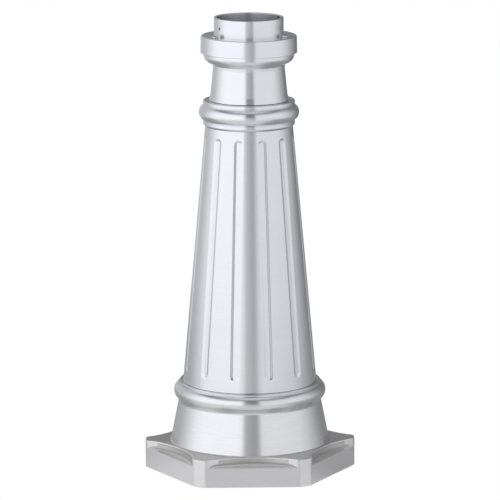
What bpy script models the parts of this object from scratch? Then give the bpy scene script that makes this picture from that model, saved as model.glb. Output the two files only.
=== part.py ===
"""Lamp post base: a cast-aluminium pier mount, 502 mm tall, built as a stack of
turned and cast shells that a central tie rod pulls down onto a steel anchor plate.

Frame: millimetres below, metres in Blender, +Z up. The origin is the middle of the
foot's underside. A flat of the hexagonal foot faces -Y and a corner faces +X.
"""

import math

import bmesh
import bpy

MM = 0.001
GAP = 0.3

# Driving heights, from the underside of the foot
FOOT_LEDGE_Z = 22.5
FOOT_TOP_Z = 30.8
BELL_TOP_Z = 76.4
LOWER_SEAM_Z = 97.5
COLUMN_TOP_Z = 383.0
RING_TOP_Z = 411.0
BOWL_TOP_Z = 463.0
COLLAR_TOP_Z = 482.0
OVERALL_Z = 502.0

# Driving radii
TENON_R = 38.1
TENON_WALL = 3.5
COLLAR_R = 53.0
NECK_R = 39.3
RING_R = 55.0
LOWER_TORUS_R = 83.9
COLUMN_FOOT_R = 73.8
COLUMN_TAPER = 0.0900
BELL_FOOT_R = 87.7
BELL_TAPER = 0.194
CASTING_WALL = 5.0

# Hexagonal foot
FACE_APOTHEM = 103.7
CORNER_R = 116.1
SCALLOP_DEPTH = 12.3
SCALLOP_HALF = 49.0
LIP_R = 3.0
COVE_R = 4.5
FOOT_WALL = 6.0
RIM_WIDTH = 11.0
GASKET_WIDTH = 3.4
GASKET_DEEP = 2.6

# Flutes
FLUTE_COUNT = 12
FLUTE_HALF = 4.9
FLUTE_DEEP = 1.2
FLUTE_FLOOR = 0.45
FLUTE_LOW_Z = 110.5
FLUTE_HIGH_Z = 373.3

# Joints between the castings
SPIGOT_R = 67.3
SPIGOT_LONG = 12.0
RING_BORE = 38.0
PIN_R = 2.0
PIN_ANGLE = 90.0

# Tie rod and its hardware, 3/8 in
ROD_R = 4.76
NUT_FLAT = 14.3
NUT_HIGH = 8.3
BAR_Z = 452.0
BAR_THICK = 5.0
BAR_HALF = 38.5
BAR_WIDE = 22.0

# Fixing screws of the collar and tenon
SCREW_ANGLES = {"left": -148.0, "right": -28.0, "rear": 92.0}
SCREW_PITCH_R = 43.5
SCREW_R = 2.0
SCREW_HOLE_R = 2.35
TENON_HOLE_R = 1.75
TENON_HOLE_Z = 492.0

# Anchor plate
PLATE_R = 76.0
PLATE_THICK = 6.4
PLATE_Z = 0.4
WIRE_HOLE = (0.0, -34.0, 12.0)
SLOT_PITCH_R = 57.15
SLOT_R = 5.5
SLOT_HALF = 7.0
GROUND_AT = (34.0, 0.0)

ROUND = 40


def clear_scene():
    """Remove every object, so that the file holds this part only."""
    for obj in list(bpy.data.objects):
        bpy.data.objects.remove(obj, do_unlink=True)


def material(name, colour, metallic, roughness):
    """A plain Principled material in linear colour."""
    made = bpy.data.materials.new(name)
    made.use_nodes = True
    shader = made.node_tree.nodes["Principled BSDF"]
    shader.inputs["Base Color"].default_value = (*colour, 1.0)
    shader.inputs["Metallic"].default_value = metallic
    shader.inputs["Roughness"].default_value = roughness
    made.diffuse_color = (*colour, 1.0)
    return made


def finish(bm, name, dressed):
    """Turn a bmesh in millimetres into a named, shaded object in metres."""
    bmesh.ops.scale(bm, vec=(MM, MM, MM), verts=bm.verts)
    bmesh.ops.recalc_face_normals(bm, faces=bm.faces)
    mesh = bpy.data.meshes.new(name)
    bm.to_mesh(mesh)
    bm.free()
    mesh.shade_smooth()
    mesh.set_sharp_from_angle(angle=math.radians(28))
    mesh.materials.append(dressed)
    obj = bpy.data.objects.new(name, mesh)
    bpy.context.scene.collection.objects.link(obj)
    return obj


def polar(radius, degrees, z):
    """A point from its radius, its angle from +X and its height."""
    turn = math.radians(degrees)
    return (radius * math.cos(turn), radius * math.sin(turn), z)


def loft(name, rows, dressed):
    """Join closed rows of points, the last row to the first, into a ring-shaped shell."""
    bm = bmesh.new()
    grid = [[bm.verts.new(point) for point in row] for row in rows]
    for low, high in zip(grid, grid[1:] + grid[:1]):
        for i in range(len(low)):
            j = (i + 1) % len(low)
            bm.faces.new((low[i], low[j], high[j], high[i]))
    return finish(bm, name, dressed)


def turned(name, outline, dressed, sides=ROUND, centre=(0.0, 0.0)):
    """Turn a closed outline of (radius, z) about a vertical axis, leaving its bore open."""
    rows = []
    for radius, z in outline:
        ring = [polar(radius, 360.0 * i / sides, z) for i in range(sides)]
        rows.append([(x + centre[0], y + centre[1], height) for x, y, height in ring])
    return loft(name, rows, dressed)


def solid(name, stations, dressed, sides=24, turn=0.0, centre=(0.0, 0.0)):
    """A closed stack of (radius, z) polygons, capped at both ends."""
    bm = bmesh.new()
    grid = []
    for radius, z in stations:
        ring = [polar(radius, turn + 360.0 * i / sides, z) for i in range(sides)]
        grid.append([bm.verts.new((x + centre[0], y + centre[1], h)) for x, y, h in ring])
    for low, high in zip(grid, grid[1:]):
        for i in range(sides):
            j = (i + 1) % sides
            bm.faces.new((low[i], low[j], high[j], high[i]))
    bm.faces.new(grid[0][::-1])
    bm.faces.new(grid[-1])
    return finish(bm, name, dressed)


def arc(centre_r, centre_z, radius, start, end, steps):
    """Points of a circular arc in the (radius, z) plane, angles in degrees from outwards."""
    points = []
    for i in range(steps + 1):
        turn = math.radians(start + (end - start) * i / steps)
        points.append((centre_r + radius * math.cos(turn), centre_z + radius * math.sin(turn)))
    return points


def cut(target, cutter):
    """Subtract a cutter, which stays in the file as a hidden wire guide."""
    cutter.hide_render = True
    cutter.display_type = "WIRE"
    cutter.data.materials.clear()
    cutter.data.materials.append(target.data.materials[0])
    modifier = target.modifiers.new("cut " + cutter.name, "BOOLEAN")
    modifier.operation = "DIFFERENCE"
    modifier.solver = "EXACT"
    modifier.object = cutter
    modifier.show_render = modifier.show_viewport


def drill(target, name, radius, centre, low, high, sides=16):
    """Bore a vertical round hole through, or into, a piece."""
    tool = solid(name, [(radius, low), (radius, high)], target.data.materials[0], sides, 7.0, centre)
    cut(target, tool)


# ---------------------------------------------------------------- hexagonal foot

def sector_angles():
    """Azimuths in degrees from a face's normal, denser where the foot turns a corner."""
    face_edge = 30.0 - corner_half_angle()
    scallop_end = math.degrees(math.atan2(SCALLOP_HALF, FACE_APOTHEM))
    half = [0.0, 9.0, 18.0, scallop_end, face_edge, 30.0]
    return [-angle for angle in reversed(half[1:])] + half[:-1]


def corner_half_angle():
    """Half the angle that a corner facet takes, seen from the axis."""
    # The facet's edge lies on the face: CORNER_R / cos(a) * cos(30 - a) = FACE_APOTHEM.
    ratio = FACE_APOTHEM / CORNER_R
    return math.degrees(math.atan((ratio - math.cos(math.radians(30))) / math.sin(math.radians(30))))


def foot_radius(phi):
    """Radius of the foot's upright side at an azimuth from the face's normal."""
    face = FACE_APOTHEM / math.cos(math.radians(phi))
    facet = CORNER_R / math.cos(math.radians(30.0 - abs(phi)))
    return min(face, facet)


def scallop_radius(phi):
    """Radius of the scallop's wall, or of the foot's side where the scallop has ended."""
    sweep = (SCALLOP_HALF ** 2 + SCALLOP_DEPTH ** 2) / (2 * SCALLOP_DEPTH)
    centre = FACE_APOTHEM - SCALLOP_DEPTH + sweep
    lateral = centre * math.sin(math.radians(phi))
    if abs(lateral) >= sweep:
        return foot_radius(phi)
    wall = centre * math.cos(math.radians(phi)) - math.sqrt(sweep ** 2 - lateral ** 2)
    return min(wall, foot_radius(phi))


def foot_outline(phi):
    """The foot's section at one azimuth, from the inner rim round the outside to the top."""
    side = foot_radius(phi)
    wall = scallop_radius(phi)
    share = min(1.0, (side - wall) / (COVE_R + 2.0))
    groove_out = side - RIM_WIDTH / 2 + GASKET_WIDTH / 2 + GAP
    groove_in = side - RIM_WIDTH / 2 - GASKET_WIDTH / 2 - GAP
    cove = COVE_R * share
    return [
        (side - RIM_WIDTH, 0.0),
        (groove_in, 0.0),
        (groove_in, GASKET_DEEP),
        (groove_out, GASKET_DEEP),
        (groove_out, 0.0),
        (side, 0.0),
        (side, FOOT_LEDGE_Z - 1.2),
        (side - 1.2 * share, FOOT_LEDGE_Z - 0.2 * (1 - share)),
        (wall + cove, FOOT_LEDGE_Z + 0.6 * (1 - share)),
        (wall + 0.3 * cove, FOOT_LEDGE_Z + 0.3 * COVE_R),
        (wall, FOOT_LEDGE_Z + COVE_R),
        (wall, FOOT_TOP_Z - LIP_R),
        (wall - 0.3 * LIP_R, FOOT_TOP_Z - 0.3 * LIP_R),
        (wall - LIP_R, FOOT_TOP_Z),
    ]


def foot_inside(phi):
    """The hollow's section in the foot, from under the bell down to the rim."""
    side = foot_radius(phi)
    wall = scallop_radius(phi)
    return [
        (BELL_FOOT_R - CASTING_WALL, FOOT_TOP_Z - CASTING_WALL),
        (wall - CASTING_WALL - 1.0, FOOT_TOP_Z - CASTING_WALL),
        (wall - CASTING_WALL - 1.0, FOOT_LEDGE_Z - CASTING_WALL + 1.0),
        (side - FOOT_WALL, FOOT_LEDGE_Z - CASTING_WALL - 1.0),
        (side - FOOT_WALL, 9.0),
        (side - RIM_WIDTH, 6.0),
    ]


def bell_and_moulding():
    """The turned part above the foot, from the bell's base over the seam to the seat inside."""
    torus = 9.6
    centre_r = LOWER_TORUS_R - torus
    centre_z = LOWER_SEAM_Z - 10.9
    bell_top_r = BELL_FOOT_R - BELL_TAPER * (BELL_TOP_Z - FOOT_TOP_Z)
    seat_z = LOWER_SEAM_Z - SPIGOT_LONG - GAP
    outline = [(BELL_FOOT_R, FOOT_TOP_Z), (bell_top_r, BELL_TOP_Z), (bell_top_r - 1.2, BELL_TOP_Z + 1.1)]
    outline += arc(centre_r, centre_z, torus, -55.0, 50.0, 4)
    outline += [
        (77.0, LOWER_SEAM_Z - 3.2),
        (78.1, LOWER_SEAM_Z - 2.0),
        (77.8, LOWER_SEAM_Z - 0.6),
        (76.6, LOWER_SEAM_Z),
        (SPIGOT_R + 2 * GAP, LOWER_SEAM_Z),
        (SPIGOT_R + 2 * GAP, seat_z),
        (SPIGOT_R - CASTING_WALL, seat_z),
        (SPIGOT_R - CASTING_WALL, seat_z - CASTING_WALL),
        (bell_top_r - CASTING_WALL, BELL_TOP_Z - 6.0),
    ]
    return outline


def base_casting(dressed):
    """Hexagonal foot, bell and lower moulding, cast as one hollow shell."""
    angles = [60.0 * side + phi - 90.0 for side in range(6) for phi in sector_angles()]
    shared = bell_and_moulding()
    columns = []
    for angle in angles:
        phi = (angle + 90.0 + 30.0) % 60.0 - 30.0
        columns.append(foot_outline(phi) + shared + foot_inside(phi))
    rows = [[polar(*(column[i][0], angle, column[i][1])) for column, angle in zip(columns, angles)]
            for i in range(len(columns[0]))]
    made = loft("base_casting", rows, dressed)
    x, y, _ = polar(SPIGOT_R - 2.4, PIN_ANGLE, 0.0)
    drill(made, "pin_hole_cutter_low", PIN_R + GAP, (x, y), LOWER_SEAM_Z - SPIGOT_LONG - 4.5,
          LOWER_SEAM_Z - SPIGOT_LONG + 5.0)
    return made


def foot_gasket(dressed):
    """Weather seal in the foot's groove, following the hexagon."""
    angles = [60.0 * side + phi - 90.0 for side in range(6)
              for phi in (-30.0, -30.0 + corner_half_angle(), 0.0, 30.0 - corner_half_angle())]
    rows = []
    for inset, z in ((-1, 0.2), (1, 0.2), (1, GASKET_DEEP - GAP), (-1, GASKET_DEEP - GAP)):
        row = []
        for angle in angles:
            phi = (angle + 90.0 + 30.0) % 60.0 - 30.0
            row.append(polar(foot_radius(phi) - RIM_WIDTH / 2 + inset * GASKET_WIDTH / 2, angle, z))
        rows.append(row)
    return loft("foot_gasket", rows, dressed)


# ---------------------------------------------------------------- fluted column

def column_radius(z):
    """Radius of the column's plain surface at a height."""
    return COLUMN_FOOT_R - COLUMN_TAPER * (z - LOWER_SEAM_Z)


def flute_half_width(z):
    """Half the flute's width at a height: full along its run, round at its two ends."""
    beyond = max(FLUTE_LOW_Z + FLUTE_HALF - z, z - (FLUTE_HIGH_Z - FLUTE_HALF), 0.0)
    if beyond >= FLUTE_HALF:
        return 0.0
    return math.sqrt(FLUTE_HALF ** 2 - beyond ** 2)


def fluted_row(z, across):
    """One row of the column's outer surface, with its flutes sunk below the plain cone."""
    plain = column_radius(z)
    half = flute_half_width(z)
    spread = max(half, 0.3 * FLUTE_HALF)
    row = []
    for flute in range(FLUTE_COUNT):
        middle = 360.0 / FLUTE_COUNT * (flute + 0.5) - 90.0
        for u in across:
            reach = spread * u
            sunk = FLUTE_DEEP * half / FLUTE_HALF if abs(u) < 1.0 else 0.0
            row.append(polar(plain - sunk, middle + math.degrees(reach / plain), z))
        row.append(polar(plain, middle + 180.0 / FLUTE_COUNT, z))
    return row


def fluted_column(dressed):
    """Tapered column with round-ended flutes, and a spigot below and above."""
    across = (-1.0, -FLUTE_FLOOR, FLUTE_FLOOR, 1.0)
    ends = (0.0, 0.08, 0.35, 1.0)
    heights = [LOWER_SEAM_Z + GAP]
    heights += [FLUTE_LOW_Z + FLUTE_HALF * share for share in ends]
    heights += [FLUTE_HIGH_Z - FLUTE_HALF * share for share in reversed(ends)]
    heights.append(COLUMN_TOP_Z - GAP)
    rows = [fluted_row(z, across) for z in heights]
    plain = [360.0 / len(rows[0]) * (i + 0.5) - 90.0 for i in range(len(rows[0]))]
    top_wall = column_radius(COLUMN_TOP_Z) - CASTING_WALL
    neckdown = [
        (top_wall - GAP, COLUMN_TOP_Z - GAP),
        (top_wall - GAP, COLUMN_TOP_Z + 8.0),
        (top_wall - CASTING_WALL, COLUMN_TOP_Z + 8.0),
        (top_wall - CASTING_WALL, COLUMN_TOP_Z - 6.0),
        (SPIGOT_R - CASTING_WALL, LOWER_SEAM_Z + 12.0),
        (SPIGOT_R - CASTING_WALL, LOWER_SEAM_Z - SPIGOT_LONG),
        (SPIGOT_R, LOWER_SEAM_Z - SPIGOT_LONG),
        (SPIGOT_R, LOWER_SEAM_Z - 7.0),
        (SPIGOT_R - 1.8, LOWER_SEAM_Z - 7.0),
        (SPIGOT_R - 1.8, LOWER_SEAM_Z - 3.4),
        (SPIGOT_R, LOWER_SEAM_Z - 3.4),
        (SPIGOT_R, LOWER_SEAM_Z + GAP),
    ]
    rows += [[polar(radius, angle, z) for angle in plain] for radius, z in neckdown]
    made = loft("fluted_column", rows, dressed)
    x, y, _ = polar(SPIGOT_R - 2.4, PIN_ANGLE, 0.0)
    drill(made, "pin_hole_cutter_high", PIN_R + GAP, (x, y), LOWER_SEAM_Z - SPIGOT_LONG - 3.0,
          LOWER_SEAM_Z - SPIGOT_LONG + 3.4)
    return made


def clocking_pin(dressed):
    """Dowel that lines the flutes up with the foot's flats."""
    x, y, _ = polar(SPIGOT_R - 2.4, PIN_ANGLE, 0.0)
    low = LOWER_SEAM_Z - SPIGOT_LONG - 4.2
    return solid("clocking_pin", [(PIN_R - 0.4, low), (PIN_R, low + 0.5), (PIN_R, low + 6.7),
                                  (PIN_R - 0.4, low + 7.2)], dressed, 12, 0.0, (x, y))


def spigot_seal(name, radius, middle_z, thick, dressed):
    """Rubber ring that fills a spigot's groove."""
    return turned(name, arc(radius, middle_z, thick / 2, 0.0, 300.0, 5), dressed, ROUND)


# ---------------------------------------------------------------- upper castings

def astragal_ring(dressed):
    """Upper moulding: a fillet, a half-round and a fillet, bored to take both spigots."""
    half_round = 9.5
    middle = RING_TOP_Z - 13.2
    bore = column_radius(COLUMN_TOP_Z) - CASTING_WALL
    outline = [(48.5, COLUMN_TOP_Z), (50.3, COLUMN_TOP_Z + 2.0), (50.3, COLUMN_TOP_Z + 5.3),
               (49.2, COLUMN_TOP_Z + 6.0)]
    outline += arc(RING_R - half_round, middle, half_round, -62.0, 62.0, 4)
    outline += [
        (49.3, RING_TOP_Z - 4.3),
        (50.3, RING_TOP_Z - 3.6),
        (50.3, RING_TOP_Z - 0.9),
        (49.4, RING_TOP_Z),
        (RING_BORE + GAP, RING_TOP_Z),
        (RING_BORE + GAP, RING_TOP_Z - 9.0),
        (RING_BORE - 3.0, RING_TOP_Z - 9.0),
        (RING_BORE - 3.0, COLUMN_TOP_Z + 12.0),
        (bore, COLUMN_TOP_Z + 9.0),
        (bore, COLUMN_TOP_Z),
    ]
    return turned("astragal_ring", outline, dressed)


def neck_casting(dressed):
    """Conical neck and bowl, with a spigot below and a thick rim that takes the screws."""
    foot = RING_TOP_Z + GAP
    rim_r = 48.7
    outline = [
        (43.6, foot),
        (42.6, foot + 3.6),
        (42.0, foot + 7.0),
        (NECK_R, 447.5),
        (39.6, 449.6),
        (42.2, 451.4),
        (45.3, 453.4),
        (47.4, 455.8),
        (rim_r, 459.4),
        (rim_r, BOWL_TOP_Z - 0.9),
        (rim_r - 1.0, BOWL_TOP_Z),
        (rim_r - 1.0, 474.0),
        (39.2, 474.0),
        (39.2, BAR_Z),
        (35.0, BAR_Z),
        (34.6, 447.0),
        (34.6, foot - 8.4),
        (RING_BORE, foot - 8.4),
        (RING_BORE, foot - 5.2),
        (RING_BORE - 1.4, foot - 5.2),
        (RING_BORE - 1.4, foot - 2.4),
        (RING_BORE, foot - 2.4),
        (RING_BORE, foot),
    ]
    made = turned("neck_casting", outline, dressed)
    for where, angle in SCREW_ANGLES.items():
        x, y, _ = polar(SCREW_PITCH_R, angle, 0.0)
        drill(made, "neck_hole_cutter_" + where, SCREW_HOLE_R, (x, y), 463.5, 476.0, 12)
    return made


def collar_cap(dressed):
    """Turned collar that covers the bowl's rim and holds the tenon's flange down."""
    under = BOWL_TOP_Z + GAP
    top = COLLAR_TOP_Z
    outline = [
        (COLLAR_R - 1.0, under),
        (COLLAR_R, under + 1.0),
        (COLLAR_R - 0.5, top - 1.5),
        (COLLAR_R - 0.95, top - 0.45),
        (COLLAR_R - 2.0, top),
        (TENON_R + GAP, top),
        (TENON_R + GAP, top - 3.8),
        (48.0, top - 3.8),
        (48.0, under),
    ]
    made = turned("collar_cap", outline, dressed)
    for where, angle in SCREW_ANGLES.items():
        x, y, _ = polar(SCREW_PITCH_R, angle, 0.0)
        drill(made, "cap_hole_cutter_" + where, SCREW_HOLE_R, (x, y), top - 6.0, top + 2.0, 12)
    return made


def lantern_tenon(dressed):
    """Three-inch tube that the lantern's fitter slides over, with a flange under the collar."""
    flange_top = COLLAR_TOP_Z - 3.8 - GAP
    flange_low = 474.0 + GAP
    inside = TENON_R - TENON_WALL
    outline = [
        (inside, flange_low),
        (47.0, flange_low),
        (47.0, flange_top),
        (TENON_R, flange_top),
        (TENON_R, OVERALL_Z - 0.7),
        (TENON_R - 0.7, OVERALL_Z),
        (inside + 0.7, OVERALL_Z),
        (inside, OVERALL_Z - 0.7),
    ]
    made = turned("lantern_tenon", outline, dressed)
    for where, angle in SCREW_ANGLES.items():
        x, y, _ = polar(SCREW_PITCH_R, angle, 0.0)
        drill(made, "flange_hole_cutter_" + where, SCREW_HOLE_R, (x, y), flange_low - 2.0,
              flange_top + 2.0, 12)
        tool = solid("tenon_hole_cutter_" + where, [(TENON_HOLE_R, 30.0), (TENON_HOLE_R, 42.0)],
                     dressed, 12, 10.0)
        tool.rotation_euler = (0.0, math.radians(90.0), math.radians(angle))
        tool.location = (0.0, 0.0, TENON_HOLE_Z * MM)
        cut(made, tool)
    return made


def tenon_screw(where, dressed):
    """Pan-head machine screw through collar, flange and bowl rim."""
    x, y, _ = polar(SCREW_PITCH_R, SCREW_ANGLES[where], 0.0)
    seat = COLLAR_TOP_Z + GAP
    stations = [(SCREW_R - 0.5, 464.5), (SCREW_R, 465.2), (SCREW_R, seat), (3.5, seat),
                (3.5, seat + 1.1), (2.7, seat + 2.0), (1.3, seat + 2.4)]
    made = solid("tenon_screw_" + where, stations, dressed, 16, 0.0, (x, y))
    slot = bmesh.new()
    bmesh.ops.create_cube(slot, size=1.0)
    bmesh.ops.scale(slot, vec=(9.0, 0.9, 2.4), verts=slot.verts)
    tool = finish(slot, "slot_cutter_" + where, dressed)
    tool.location = (x * MM, y * MM, (seat + 2.5) * MM)
    tool.rotation_euler = (0.0, 0.0, math.radians(SCREW_ANGLES[where] + 35.0))
    cut(made, tool)
    return made


# ---------------------------------------------------------------- tie rod hardware

def clamp_bar(dressed):
    """Steel bar across the bowl, resting on the neck's ledge, that the tie rod pulls down."""
    corner = math.degrees(math.asin(BAR_WIDE / 2 / BAR_HALF))
    outline = [polar(BAR_HALF, corner * (i / 3.0 - 1.0), 0.0)[:2] for i in range(7)]
    outline += [(-x, -y) for x, y in outline]
    bm = bmesh.new()
    low_z = BAR_Z + GAP
    low = [bm.verts.new((x, y, low_z)) for x, y in outline]
    high = [bm.verts.new((x, y, low_z + BAR_THICK)) for x, y in outline]
    for i in range(len(low)):
        j = (i + 1) % len(low)
        bm.faces.new((low[i], low[j], high[j], high[i]))
    bm.faces.new(low[::-1])
    bm.faces.new(high)
    made = finish(bm, "clamp_bar", dressed)
    drill(made, "bar_hole_cutter", ROD_R + 0.6, (0.0, 0.0), low_z - 3.0, low_z + BAR_THICK + 3.0)
    return made


def hex_nut(name, low_z, high, dressed):
    """Hexagon nut with chamfered corners and a plain bore over the rod's thread."""
    corner = NUT_FLAT / 2 / math.cos(math.radians(30))
    stations = [(corner - 0.9, low_z), (corner, low_z + 0.5), (corner, low_z + high - 0.5),
                (corner - 0.9, low_z + high)]
    made = solid(name, stations, dressed, 6)
    drill(made, name + "_bore_cutter", ROD_R + GAP, (0.0, 0.0), low_z - 3.0, low_z + high + 3.0)
    return made


def washer(name, inner, outer, low_z, thick, dressed, centre=(0.0, 0.0)):
    """Flat round washer."""
    outline = [(inner, low_z), (outer, low_z), (outer, low_z + thick), (inner, low_z + thick)]
    return turned(name, outline, dressed, 24, centre)


def lock_washer(name, low_z, thick, dressed):
    """Split spring washer, one open turn with a slight rise across its split."""
    bm = bmesh.new()
    steps = 22
    sections = []
    for i in range(steps + 1):
        angle = 12.0 + 336.0 * i / steps
        rise = 0.5 * i / steps
        corners = ((5.1, low_z), (8.6, low_z), (8.6, low_z + thick), (5.1, low_z + thick))
        sections.append([bm.verts.new(polar(r, angle, z + rise)) for r, z in corners])
    for here, there in zip(sections, sections[1:]):
        for i in range(4):
            j = (i + 1) % 4
            bm.faces.new((here[i], here[j], there[j], there[i]))
    bm.faces.new(sections[0][::-1])
    bm.faces.new(sections[-1])
    return finish(bm, name, dressed)


def tie_rod(dressed):
    """Threaded rod, left plain, from the anchor plate's nut to above the clamp bar."""
    low = PLATE_Z + 1.0
    high = BAR_Z + 24.5
    stations = [(ROD_R - 1.0, low), (ROD_R, low + 1.0), (ROD_R, high - 1.0), (ROD_R - 1.0, high)]
    return solid("tie_rod", stations, dressed, 16)


# ---------------------------------------------------------------- anchor plate

def slot_cutter(name, angle, dressed):
    """Obround cutter for an anchor slot that follows the bolt circle's tangent."""
    x, y, _ = polar(SLOT_PITCH_R, angle, 0.0)
    bm = bmesh.new()
    outline = []
    for side in (1, -1):
        for i in range(7):
            turn = math.radians(-90.0 + 30.0 * i) if side == 1 else math.radians(90.0 + 30.0 * i)
            outline.append((side * SLOT_HALF + SLOT_R * math.cos(turn), SLOT_R * math.sin(turn)))
    low = [bm.verts.new((px, py, PLATE_Z - 3.0)) for px, py in outline]
    high = [bm.verts.new((px, py, PLATE_Z + PLATE_THICK + 3.0)) for px, py in outline]
    for i in range(len(low)):
        j = (i + 1) % len(low)
        bm.faces.new((low[i], low[j], high[j], high[i]))
    bm.faces.new(low[::-1])
    bm.faces.new(high)
    tool = finish(bm, name, dressed)
    tool.location = (x * MM, y * MM, 0.0)
    tool.rotation_euler = (0.0, 0.0, math.radians(angle + 90.0))
    return tool


def anchor_plate(dressed):
    """Round steel plate that is bolted to the pier and holds the tie rod's foot."""
    high = PLATE_Z + PLATE_THICK
    made = solid("anchor_plate", [(PLATE_R - 0.8, PLATE_Z), (PLATE_R, PLATE_Z + 0.8), (PLATE_R, high - 0.8),
                                  (PLATE_R - 0.8, high)], dressed, ROUND)
    drill(made, "rod_hole_cutter", ROD_R + 0.6, (0.0, 0.0), PLATE_Z - 3.0, high + 3.0)
    drill(made, "wire_hole_cutter", WIRE_HOLE[2] + GAP, WIRE_HOLE[:2], PLATE_Z - 3.0, high + 3.0, 24)
    drill(made, "ground_hole_cutter", 2.6, GROUND_AT, PLATE_Z - 3.0, high + 3.0, 12)
    for i, angle in enumerate((45.0, 135.0, 225.0, 315.0)):
        cut(made, slot_cutter("slot_cutter_%d" % i, angle, dressed))
    return made


def wire_grommet(dressed):
    """Rubber bush that lines the plate's wire hole."""
    hole = WIRE_HOLE[2] - GAP
    high = PLATE_Z + PLATE_THICK
    outline = [(hole - 3.0, PLATE_Z + 0.6), (hole, PLATE_Z + 0.6), (hole, high + GAP), (hole + 2.4, high + GAP),
               (hole + 2.4, high + 1.6), (hole + 1.2, high + 2.6), (hole - 1.8, high + 2.6), (hole - 3.0, high + 1.4)]
    return turned("wire_grommet", outline, dressed, 16, WIRE_HOLE[:2])


def ground_screw(dressed):
    """Hexagon washer-head screw for the earth wire."""
    seat = PLATE_Z + PLATE_THICK + 2.1
    stations = [(1.7, PLATE_Z + 0.6), (2.2, PLATE_Z + 1.2), (2.2, seat), (4.9, seat), (4.9, seat + 0.9),
                (4.2, seat + 1.2), (4.2, seat + 3.6), (3.6, seat + 4.0)]
    return solid("ground_screw", stations, dressed, 12, 0.0, GROUND_AT)


def ground_washer(dressed):
    """Cup washer that traps the earth wire under the screw's head."""
    low = PLATE_Z + PLATE_THICK + GAP
    outline = [(2.6, low + 0.5), (5.0, low + 0.5), (5.6, low), (6.6, low), (6.6, low + 0.9),
               (6.0, low + 1.5), (2.6, low + 1.5)]
    return turned("ground_washer", outline, dressed, 16, GROUND_AT)


def build():
    """Make every piece of the post base."""
    clear_scene()
    aluminium = material("brushed_aluminium", (0.72, 0.73, 0.75), 1.0, 0.32)
    machined = material("turned_aluminium", (0.74, 0.75, 0.77), 1.0, 0.26)
    zinc = material("zinc_plated_steel", (0.55, 0.56, 0.56), 1.0, 0.38)
    stainless = material("stainless_steel", (0.58, 0.57, 0.55), 1.0, 0.25)
    rubber = material("black_rubber", (0.02, 0.02, 0.02), 0.0, 0.75)
    green = material("green_passivated_steel", (0.03, 0.22, 0.07), 0.8, 0.4)

    base_casting(aluminium)
    foot_gasket(rubber)
    fluted_column(aluminium)
    clocking_pin(stainless)
    spigot_seal("lower_spigot_seal", SPIGOT_R - 0.6, LOWER_SEAM_Z - 5.2, 1.7, rubber)
    astragal_ring(machined)
    neck_casting(machined)
    spigot_seal("upper_spigot_seal", RING_BORE - 0.55, RING_TOP_Z - 3.5, 1.3, rubber)
    collar_cap(machined)
    lantern_tenon(machined)
    for where in SCREW_ANGLES:
        tenon_screw(where, stainless)

    anchor_plate(zinc)
    wire_grommet(rubber)
    ground_screw(green)
    ground_washer(zinc)
    nut_low = PLATE_Z + PLATE_THICK + GAP
    hex_nut("rod_weld_nut", nut_low, 12.0, zinc)
    hex_nut("rod_jam_nut", nut_low + 12.0 + GAP, 5.4, zinc)
    tie_rod(zinc)
    clamp_bar(zinc)
    stack = BAR_Z + GAP + BAR_THICK + GAP
    washer("rod_flat_washer", ROD_R + 0.5, 12.5, stack, 1.8, zinc)
    lock_washer("rod_lock_washer", stack + 1.8 + GAP, 2.2, zinc)
    hex_nut("rod_clamp_nut", stack + 1.8 + 2 * GAP + 2.2 + 0.5, NUT_HIGH, zinc)


build()
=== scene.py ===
"""Looks of the lamp post base: a brushed cast-aluminium pier mount for a post lantern.

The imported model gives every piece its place. Each class below stands for one
sub-assembly, takes its reach and heights from the frame, builds the fine mesh of
its pieces in millimetres, and dresses them in the finish the real piece has.
"""
from __future__ import annotations

import logging
import math
from dataclasses import dataclass, field
from enum import Enum
from typing import Callable, Sequence

import bmesh
import bpy
from mathutils import Matrix, Vector

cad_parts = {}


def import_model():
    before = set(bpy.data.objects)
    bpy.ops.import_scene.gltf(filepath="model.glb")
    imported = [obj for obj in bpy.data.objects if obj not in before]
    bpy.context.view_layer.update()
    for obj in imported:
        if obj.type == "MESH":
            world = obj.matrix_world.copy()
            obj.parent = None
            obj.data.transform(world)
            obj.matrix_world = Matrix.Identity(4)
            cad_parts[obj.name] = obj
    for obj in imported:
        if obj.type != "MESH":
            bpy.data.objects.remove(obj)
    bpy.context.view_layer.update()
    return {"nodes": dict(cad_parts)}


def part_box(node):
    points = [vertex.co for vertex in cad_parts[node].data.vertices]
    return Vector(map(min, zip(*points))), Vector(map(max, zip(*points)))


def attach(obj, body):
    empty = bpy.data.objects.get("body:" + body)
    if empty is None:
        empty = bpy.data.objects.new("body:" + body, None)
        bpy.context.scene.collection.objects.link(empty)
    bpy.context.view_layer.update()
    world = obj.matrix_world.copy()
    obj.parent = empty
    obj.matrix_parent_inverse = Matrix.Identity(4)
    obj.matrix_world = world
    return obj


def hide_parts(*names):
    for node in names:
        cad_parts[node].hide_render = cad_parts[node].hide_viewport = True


LOG = logging.getLogger("lamp_post_base")

MM = 0.001
BODY = "root"

Point = tuple[float, float]
Outline = list[Point]
Place = tuple[float, float, float]


# ------------------------------------------------------------------ shape helpers

@dataclass(frozen=True)
class Extent:
    """A CAD node's box at rest, in millimetres."""

    low: Vector
    high: Vector

    @classmethod
    def of(cls, node: str) -> "Extent":
        """The box of a named CAD node."""
        low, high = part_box(node)
        return cls(low / MM, high / MM)

    @property
    def radius(self) -> float:
        """Half the box's width along X."""
        return (self.high.x - self.low.x) / 2

    @property
    def centre(self) -> Point:
        """Middle of the box in plan."""
        return ((self.high.x + self.low.x) / 2, (self.high.y + self.low.y) / 2)


def polar(radius: float, degrees: float, z: float) -> Place:
    """A point from its radius, its angle from +X in degrees and its height."""
    turn = math.radians(degrees)
    return (radius * math.cos(turn), radius * math.sin(turn), z)


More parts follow.
